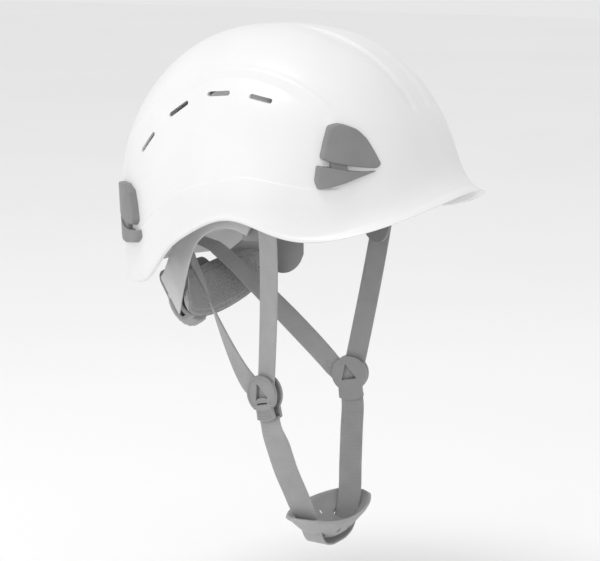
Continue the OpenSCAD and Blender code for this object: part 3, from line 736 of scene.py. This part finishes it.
def rearStrap(at, bow, over):
    # over the nape pad's edge first, then down to the straight end
    tip, gate, handle = intoDivider(at, -harness["layer"], (0, -7), (-0.68, 0.73), 26)
    over = np.array(over, float)
    top = bezier([[-12, 106, -5], [-12, 92, -10], over + [5, 11, 6], over], 24)
    down = bezier([over, over + [-5, -11, -7], handle + [0, 0, bow], gate], harness["steps"])
    path = np.vstack([top, down[1:], mix(gate, tip, 0.5), tip])
    t = np.clip((np.linspace(0, 18, len(path)) - 8) / 9, 0, 1)[:, None]
    return path, unit(mix(np.array([-0.95, -0.3, 0]), dividerWay(at, [0, 0.73, 0.68]), t))


for side, at, back, bow, flip in (("right", harness["right"], 0, 0, False),
                                  ("left", harness["left"], 5, 5, True)):
    turn = mirrored if flip else np.asarray
    path, across = frontStrap(at, back)
    finish(band("frontStrap" + side.title(), turn(path), turn(across), chinWeave),
           "shell", "front_strap_" + side)
    path, across = rearStrap(at, bow, [-19, 72, -17])
    finish(band("rearStrap" + side.title(), turn(path), turn(across), chinWeave),
           "shell", "rear_strap_" + side)

# the chin strap: out of the right divider, down the leg, under the cup and up the other side
half = [[-36, -37, -205], [-31, -38, -213], [-27, -38, -220.5], [-21, -38, -226.8],
        [-12, -38, -230]]
legMid = np.array([-54, -29.5, -165.0])
hidden = [[0, 0, -harness["chinStart"]], [0, 0, -harness["reach"] - 2]]
rightIn, leftIn = onDivider(harness["right"], hidden), mirrored(onDivider(harness["left"], hidden))
upLeft = mirrored(half[0])
chinSteps = 180
chinPath = smoothPath(np.vstack([
    rightIn, mix(rightIn[1], legMid, 0.5), legMid, mix(legMid, half[0], 0.5), half,
    [[0, -38, -230.8]], mirrored(half[::-1]), mix(upLeft, leftIn[1], 0.35),
    mix(upLeft, leftIn[1], 0.7), leftIn[::-1]]), chinSteps)
# the right leg turns outwards between divider and cup
height = chinPath[:, 2]
twist = smooth(height, -216, -190) * (1 - smooth(height, -146, -126)) * (chinPath[:, 0] < 0)
lean = np.stack([0.15 * np.tanh(chinPath[:, 0] / 12) + 0.5 * twist, -np.ones(chinSteps),
                 np.zeros(chinSteps)], -1)
chinPiece = band("chinStrap", chinPath, lean, chinWeave, harness["chinWidth"])
finish(chinPiece, None, "chin_strap")
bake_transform(chinPiece)

cradle = {"level": 46, "gap": 6, "top": 122, "step": 2.4, "count": 90}


def crownPath(a, height):
    # hangs from the wall on both sides and arches over the head
    def reach(b):
        p = [skin(np.array(float(b)), np.array(float(z)), -shell["wall"] - cradle["gap"])
             for z in (cradle["level"], cradle["level"] + 16)]
        return min(float(np.hypot(q[0], q[1])) for q in p)
    t = np.linspace(-np.pi / 2, np.pi / 2, cradle["count"])
    r = np.where(t < 0, reach(a), reach(a + 180)) * np.sin(t)
    z = mix(cradle["level"], height, np.clip(np.cos(t), 0, 1) ** 0.85)
    return np.stack([-r * math.sin(math.radians(a)), r * math.cos(math.radians(a)), z], -1)


for name, node, a, step in (("crownStrapLong", "crown_strap_long", 0, 0),
                            ("crownStrapCrossA", "crown_strap_cross_a", 60, 1),
                            ("crownStrapCrossB", "crown_strap_cross_b", -60, 2)):
    path = crownPath(a, cradle["top"] + step * cradle["step"])
    wide = [math.cos(math.radians(a)), math.sin(math.radians(a)), 0]
    finish(band(name, path, wide, cradleWeave), "shell", node)
print("webbing ready")

# band arms, from the temple plates under the ear arch to the ratchet
arms = {"width": 18, "rootWidth": 32, "thick": 1.6, "steps": 64}


nape = {"at": (78, -47), "lean": -30, "housingHalf": 32, "tailGap": 4.2,
        "span": 41, "bend": 88, "thick": 5, "padAt": 70.5, "padTilt": 0.5}


def intoNape(local):
    # places a point of the leant housing: y and z turned by the lean, then moved to its middle
    lean = math.radians(nape["lean"])
    x, y, z = local[..., 0], local[..., 1], local[..., 2]
    return np.stack([x, nape["at"][0] + y * math.cos(lean) - z * math.sin(lean),
                     nape["at"][1] + y * math.sin(lean) + z * math.cos(lean)], -1)


bend = [-78, 38, 6]
tail = intoNape(np.array([-nape["housingHalf"] - nape["tailGap"], 0.0, 0.0]))
frontPart = bezier([[-86, -20, 20], [-91, 2, 33], [-85, 25, 20], bend], 33)
rearPart = bezier([bend, [-74, 47, -7], [-56, 63, -36], tail], 32)
armPath = np.vstack([frontPart, rearPart[1:]])
t = np.linspace(0, 17, 64)
armWidth = arms["width"] + (arms["rootWidth"] - arms["width"]) * (np.maximum(0, t - 6) / 11) ** 1.5
armTurn = turning([0, 0.1, 1], [0, 0.5, 0.9], 64)
for side, flip in (("Right", False), ("Left", True)):
    turn = mirrored if flip else np.asarray
    arm = band("bandArm" + side, turn(armPath), turn(armTurn), armPlastic, armWidth,
               arms["thick"], 0.7)
    finish(arm, None, "band_arm_" + side.lower())
    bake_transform(arm)
print("arms ready")


# pads
def padSolid(name, place, cols, rows, lo, hi, thick, material, crown=0.35, seam=0.0):
    # place(s, z, depth) gives a point; both faces swell between the edges and meet in a rim
    s = np.linspace(0, 1, cols)[:, None] + np.zeros((1, rows))
    r = np.linspace(-1, 1, rows)[None] + np.zeros((cols, 1))
    z = (lo(s) + hi(s)) / 2 + (hi(s) - lo(s)) / 2 * r
    edge = np.minimum((1 - np.abs(r)) * (hi(s) - lo(s)) / 2, np.minimum(s, 1 - s) * 130)
    swell = 1 - np.exp(-(edge / 3.2) ** 1.3)
    groove = seam * np.exp(-((edge - 4.2) / 0.7) ** 2)
    face = np.stack([place(s, z, thick * (0.5 * swell + crown * 0.2 * swell) - groove),
                     place(s, z, -thick * 0.5 * swell + groove)])
    return makeMesh(name, face.reshape(-1, 3),
                    outward(face.reshape(-1, 3), closedPair(cols, rows)), material)


def napePlace(s, z, depth):
    # arc of the bend radius seen from above; the face leans more in the middle than at the ends
    b = np.radians(nape["span"] * (2 * s - 1))
    lean = nape["padTilt"] * np.cos(2 * b)
    r = nape["bend"] - depth
    return np.stack([r * np.sin(b), nape["padAt"] + r * np.cos(b) - nape["bend"]
                     + lean * (z - nape["at"][1]), z], -1)


def napeLow(s):
    # lower edge: a shallow parabola, rounded up at both ends
    u = np.abs(2 * s - 1)
    return -66 + 14 * u * u + 7 * u ** 9


def napeHigh(s):
    # upper edge: rises towards both ends and is rounded down at their tips
    u = np.abs(2 * s - 1)
    return -32 + 14 * u ** 1.5 - 7 * u ** 9


napePad = padSolid("napePad", napePlace, 120, 44, napeLow, napeHigh, nape["thick"], padCover,
                   seam=0.5)
finish(napePad, "nape_unit", "nape_pad")


def browPlace(s, z, depth):
    # inside face of the brow band, an oval seen from above
    b = np.radians(108 * s - 54)
    g = -0.3 - 2.5 - depth
    return np.stack([(80 + g) * np.sin(b), -(100 + g) * np.cos(b), z], -1)


def browLow(s):
    # lower edge, rounded up at both ends
    return 23 + 8 * np.abs(2 * s - 1) ** 6


def browHigh(s):
    # upper edge, rounded down at both ends
    return 60 - 8 * np.abs(2 * s - 1) ** 6


browPad = padSolid("browPad", browPlace, 110, 40, browLow, browHigh, 5, padCover, crown=0.0,
                   seam=0.4)
finish(browPad, "shell", "brow_pad")
print("pads ready")

# ratchet knob with gripped rim
knob = {"radius": 18, "depth": 12, "grips": 20, "bite": 0.9, "gap": 0.5, "rear": 5.4, "drop": 8}


def lathe(profile, around, wobble):
    # profile of (radius, height) turned about an axis; wobble trims the radius round the rim
    prof = np.asarray(profile, float)
    t = np.linspace(0, 2 * np.pi, around, endpoint=False)
    r = prof[:, 0][:, None] * np.ones(around) - wobble(prof[:, 0][:, None], t[None])
    return np.stack([r * np.sin(t), prof[:, 1][:, None] + 0 * r, r * np.cos(t)], -1)


def knobGrip(r, t):
    # scallops round the rim: a rounded dip once per grip, only on the outermost part
    bite = np.clip(1 - np.abs(((t * knob["grips"] / (2 * np.pi)) % 1) - 0.5) * 2.6, 0, 1) ** 0.5
    return knob["bite"] * bite * smooth(r, knob["radius"] - 2.2, knob["radius"] - 0.2)


y0 = knob["rear"] + knob["gap"]
yTop = y0 + knob["depth"]
rim = knob["radius"]
knobProfile = [
    # bore, then the front face and the gripped rim
    (3.0, yTop - 8), (3.0, y0), (rim - 2.2, y0), (rim - 1.2, y0 + 0.25), (rim - 0.4, y0 + 0.9),
    (rim, y0 + 1.9), (rim, y0 + 4), (rim, y0 + 7), (rim, yTop - 3.4),
    # the rounded edge, the dish inside it, and the raised middle round the screw
    (rim - 0.35, yTop - 2.2), (rim - 1.2, yTop - 1.0), (rim - 2.4, yTop - 0.35),
    (rim - 3.6, yTop - 0.15), (rim - 4.4, yTop - 0.5), (rim - 5.0, yTop - 1.1),
    (rim - 6.2, yTop - 1.3), (7.4, yTop - 1.3), (6.6, yTop - 1.1), (6.0, yTop - 0.4),
    (5.2, yTop - 0.2), (4.3, yTop - 0.25), (4.0, yTop - 0.6), (4.0, yTop - 2.4),
    (1.5, yTop - 2.4), (1.5, yTop - 3)]
knobRings = lathe(knobProfile, 240, knobGrip) - [0, 0, knob["drop"]]
knobPiece = tube("ratchetKnob", intoNape(knobRings), knobPlastic)
finish(sharpen(knobPiece, 40), "knob", "ratchet_knob")
print("knob ready")


def roundedOutline(w, h, r, count):
    # rectangle with round corners: a circle of radius r pushed out towards each corner
    t = np.linspace(0, 2 * np.pi, count, endpoint=False)
    c, s = np.cos(t), np.sin(t)
    return np.stack([np.sign(c) * (w / 2 - r) * (np.abs(c) > 1e-9) + r * c,
                     np.sign(s) * (h / 2 - r) * (np.abs(s) > 1e-9) + r * s], -1)


# strap dividers: round cover with a raised rim and a three-sided window
divider = {"radius": 14, "window": [(-6.5, -4.5), (5.5, -3.5), (-2.5, 8)], "around": 240,
           "leverHalf": 8.3, "notch": -6.5}


def windowLoop(count):
    # the window's outline sampled by direction, so it pairs with the rim
    c = np.array(divider["window"], float)
    mid = c.mean(0)
    t = np.linspace(0, 2 * np.pi, count, endpoint=False)
    d = np.stack([np.cos(t), np.sin(t)], -1)
    best = np.full(count, 1e9)
    for k in range(3):
        a, b = c[k] - mid, c[(k + 1) % 3] - mid
        e = b - a
        nrm = np.array([e[1], -e[0]])
        nrm = nrm / np.linalg.norm(nrm)
        if nrm @ a < 0:
            nrm = -nrm
        along = d @ nrm
        best = np.where(along > 1e-6, np.minimum(best, nrm @ a / np.maximum(along, 1e-6)), best)
    wide = np.concatenate([best[-6:], best, best[:6]])
    weight = np.hanning(11)
    weight /= weight.sum()
    soft = np.convolve(wide, weight, mode="same")[6:-6]
    return mid + d * soft[:, None], t


def coverOutline(t, mid, grow=0.0):
    # circle round the middle, with a notch at the bottom for the lever, seen from mid
    d = np.stack([np.cos(t), np.sin(t)], -1)
    rim = divider["radius"] + grow
    b = d @ mid
    hit = -b + np.sqrt(b * b - mid @ mid + rim * rim)
    p = mid + d * hit[:, None]
    low = (p[:, 1] < divider["notch"] - grow) & (np.abs(p[:, 0]) < divider["leverHalf"] + 1.5)
    cut = (divider["notch"] - grow - mid[1]) / np.minimum(d[:, 1], -1e-6)
    blend = smooth(np.abs(p[:, 0]), divider["leverHalf"] + 0.6, divider["leverHalf"] - 0.6)
    q = mid + d * np.minimum(hit, cut)[:, None]
    return np.where(low[:, None], mix(p, q, blend[:, None]), p)


def coverPiece(name, at, flip):
    # rings from the window out to the rim and back, each at its own height
    inner0, t = windowLoop(divider["around"])
    mid = np.array(divider["window"], float).mean(0)
    # rings between the window and the rim: (share of the way to the rim, inset, height)
    steps = [(0.0, 0, 1.8), (0.5, 0, 1.8), (1.0, -0.35, 1.8), (1.0, 0, 2.2), (1.0, 0, 4.3),
             (1.0, -0.25, 4.8), (1.0, -0.7, 5.1), (1.0, -1.3, 5.1), (1.0, -1.75, 4.8),
             (1.0, -2.0, 4.4), (1.0, -2.6, 4.1), (1.0, -3.2, 4.35), (1.0, -3.7, 4.4),
             (0.45, 0, 4.55), (0.12, 0, 4.6), (0.04, 0, 4.45), (0.0, 0, 4.1), (0.0, 0, 3.0)]
    rings = []
    for share, inset, h in steps:
        rim = coverOutline(t, mid, inset)
        flat = mix(inner0, rim, share)
        rings.append(np.stack([np.full(len(t), h), flat[:, 0], flat[:, 1]], -1))
    rings = np.array(rings)
    rings = onDivider(at, rings)
    if flip:
        rings = mirrored(rings)
    points = rings.reshape(-1, 3)
    faces = outward(points, gridFaces(len(steps), len(t), wrapRows=True, wrapCols=True))
    return makeMesh(name, points, faces, dividerPlastic)


lever = {"halfWide": 8.0, "spread": 0.9, "root": 7.2, "reach": 20.4, "back": 2.3}


def leverPiece(name, at, flip):
    # tongue that turns on a pin: smooth root, then three ribs for the thumb and a curved end
    rows, cols = 72, 40
    v = np.linspace(0, 1, rows)[:, None] + np.zeros((1, cols))
    u = np.linspace(-1, 1, cols)[None] + np.zeros((rows, 1))
    halfWide = lever["halfWide"] + lever["spread"] * smooth(v, 0.35, 1)
    y = u * halfWide
    zEnd = -np.sqrt(lever["reach"] ** 2 - y ** 2)
    z = -lever["root"] + (zEnd + lever["root"]) * v
    ribs = 0.75 * np.clip(np.sin((v * 13.2 - 4.6) * 2 * np.pi / 2.3), 0, 1) ** 0.6 \
        * smooth(v, 0.35, 0.40) * (1 - smooth(v, 0.90, 0.95)) * (1 - smooth(np.abs(u), 0.82, 0.9))
    edge = np.minimum((1 - np.abs(u)) * halfWide, np.minimum(v, 1 - v) * 13)
    soft = np.sqrt(np.clip(1 - (1 - np.minimum(1, edge / 0.9)) ** 2, 0, 1))
    front = 2.4 + (2.4 + 0.35 * np.cos(np.pi * (v - 0.1))) * soft + ribs * (edge > 0.9)
    top = np.stack([front, y, z], -1)
    bottom = np.stack([lever["back"] + 0 * front, y, z], -1)
    points = onDivider(at, np.vstack([top.reshape(-1, 3), bottom.reshape(-1, 3)]))
    if flip:
        points = mirrored(points)
    return makeMesh(name, points, outward(points, closedPair(rows, cols)), dividerPlastic)


for side, at, flip in (("right", harness["right"], False), ("left", harness["left"], True)):
    finish(sharpen(coverPiece("dividerCover" + side.title(), at, flip), 50), "shell",
           "divider_cover_" + side)
    finish(sharpen(leverPiece("camLever" + side.title(), at, flip), 50), "lever_" + side,
           "cam_lever_" + side)
print("dividers ready")

# chin cup
cup = {"half": 49, "depth": 22, "at": (0, -38, -227), "thick": 2.2, "rise": 24, "bowl": 18,
       "back": 24, "slotX": 27}


def cupMid(u, v):
    # a trough: rises with u squared towards its ends, and with v squared at both sides
    c = cup["at"]
    return np.stack([c[0] + cup["half"] * u,
                     c[1] - cup["depth"] * np.sqrt(1 - 0.78 * u * u) * v,
                     c[2] + cup["rise"] * u * u
                     + np.where(v > 0, cup["bowl"], cup["back"]) * (1 - u * u) * v * v], -1)


def cupSurface(u, v, g):
    # the middle surface moved by g along its own square direction
    e = 0.01
    side = cupMid(u + e, v) - cupMid(u - e, v)
    up = cupMid(u, v + e) - cupMid(u, v - e)
    return cupMid(u, v) + g[..., None] * unit(np.cross(side, up))


rows, cols = 110, 52
u = np.linspace(-1, 1, rows)[:, None] + np.zeros((1, cols))
v = np.linspace(-1, 1, cols)[None] + np.zeros((rows, 1))
uu = u * (1 - 0.10 * v ** 4)
edge = np.minimum((1 - np.abs(u)) * cup["half"], (1 - np.abs(v)) * 20)
lipRise = 0.45 * np.exp(-((edge - 1.4) / 1.1) ** 2)
roundOff = np.sqrt(np.clip(1 - (1 - np.minimum(1, edge / 1.1)) ** 2, 0, 1))
halfT = cup["thick"] / 2
topSide = cupSurface(uu, v, -(halfT * roundOff + lipRise))
lowSide = cupSurface(uu, v, halfT * roundOff + lipRise)
points = np.vstack([topSide.reshape(-1, 3), lowSide.reshape(-1, 3)])
n0 = rows * cols
# the two faces share their border, so the second grid's border points are the first's
faces = np.vstack([gridFaces(rows, cols), gridFaces(rows, cols, flip=True) + n0])
onEdge = (np.arange(n0) // cols % (rows - 1) == 0) | (np.arange(n0) % cols % (cols - 1) == 0)
lookup = np.arange(2 * n0)
lookup[n0:][onEdge] = np.arange(n0)[onEdge]
faces = lookup[faces]
used = np.unique(faces)
renumber = np.zeros(2 * n0, dtype=int)
renumber[used] = np.arange(len(used))
cupPiece = makeMesh("chinCup", points[used], outward(points[used], renumber[faces]), cupPlastic)


def boxCutter(middle, size, corner):
    # an upright prism with round corners
    t = roundedOutline(size[0], size[1], corner, 32)
    low = np.column_stack([t, np.full(32, -size[2] / 2)]) + middle
    high = np.column_stack([t, np.full(32, size[2] / 2)]) + middle
    return tube("cupCutter", np.array([low, high]), cupPlastic)


def holeCutter(u0, v0, r):
    # an oval prism square to the cup at (u0, v0)
    e = 0.01
    u0, v0 = np.array(u0), np.array(v0)
    side = unit(cupMid(u0 + e, v0) - cupMid(u0 - e, v0))
    up = unit(cupMid(u0, v0 + e) - cupMid(u0, v0 - e))
    axis = np.cross(side, up)
    t = np.linspace(0, 2 * np.pi, 32, endpoint=False)[:, None]
    loop = (cupMid(u0, v0) + side * np.cos(t) * r * 0.8
            + np.cross(axis, side) * np.sin(t) * r * 1.25)
    return tube("cupCutter", np.array([loop - axis * 6, loop + axis * 6]), cupPlastic)


cuts = [boxCutter(np.array([s * cup["slotX"], -38, -221.0]), (8, 18, 20), 1.5) for s in (-1, 1)]
cuts += [holeCutter(x / cup["half"], v0, 2.2) for x in (-14, 0, 14) for v0 in (-0.68, 0.68)]
cutBy(cupPiece, cuts)
finish(sharpen(cupPiece, 45), "chin_loop", "chin_cup")
print("cup ready")

# floor, light and camera
studio = {"floor": -0.30, "distance": 1.7, "turn": 28, "elevation": 9, "focal": 136.6,
          "aimRight": 0.0115, "aimDown": 0.0346}
bpy.ops.mesh.primitive_plane_add(size=14, location=(0, 0, studio["floor"]))
floor = bpy.context.object
floor.name = "floor"
floorTone = Shader("floorTone", (0.97, 0.97, 0.97), 0.9)
floorTone.set("Base Color", floorTone.ramp(floorTone.noise(1.5), (0.96, 0.96, 0.96),
                                           (0.98, 0.98, 0.98)))
floor.data.materials.append(floorTone.mat)

world = bpy.data.worlds.new("studioAir")
bpy.context.scene.world = world
world.use_nodes = True
world.node_tree.nodes["Background"].inputs["Color"].default_value = (1, 1, 1, 1)
world.node_tree.nodes["Background"].inputs["Strength"].default_value = 0.80
bpy.context.scene.view_settings.view_transform = "Standard"


def softLamp(name, place, aim, size, power):
    # a square area lamp that looks from its place at the aim
    data = bpy.data.lights.new(name, "AREA")
    data.size = size
    data.energy = power
    lamp = bpy.data.objects.new(name, data)
    lamp.location = place
    look = np.array(aim, float) - np.array(place, float)
    lamp.rotation_euler = Vector(look).to_track_quat("-Z", "Y").to_euler()
    bpy.context.scene.collection.objects.link(lamp)


softLamp("keyLamp", (-0.7, 0.3, 2.1), (0, 0, 0.02), 0.7, 14)
softLamp("fillLamp", (-1.9, 0.6, 0.5), (0, 0, -0.1), 1.4, 7)

th, el = math.radians(studio["turn"]), math.radians(studio["elevation"])
toCamera = np.array([-math.cos(th) * math.cos(el), -math.sin(th) * math.cos(el), math.sin(el)])
rightWay = np.array([math.sin(th), -math.cos(th), 0.0])
upWay = np.cross(toCamera, rightWay)
eye = toCamera * studio["distance"]
aim = rightWay * studio["aimRight"] - upWay * studio["aimDown"]
camData = bpy.data.cameras.new("studioCamera")
camData.lens = studio["focal"]
camData.sensor_width = 36
cam = bpy.data.objects.new("studioCamera", camData)
cam.location = eye
cam.rotation_euler = Vector(aim - eye).to_track_quat("-Z", "Y").to_euler()
bpy.context.scene.collection.objects.link(cam)
bpy.context.scene.camera = cam
print("studio ready")
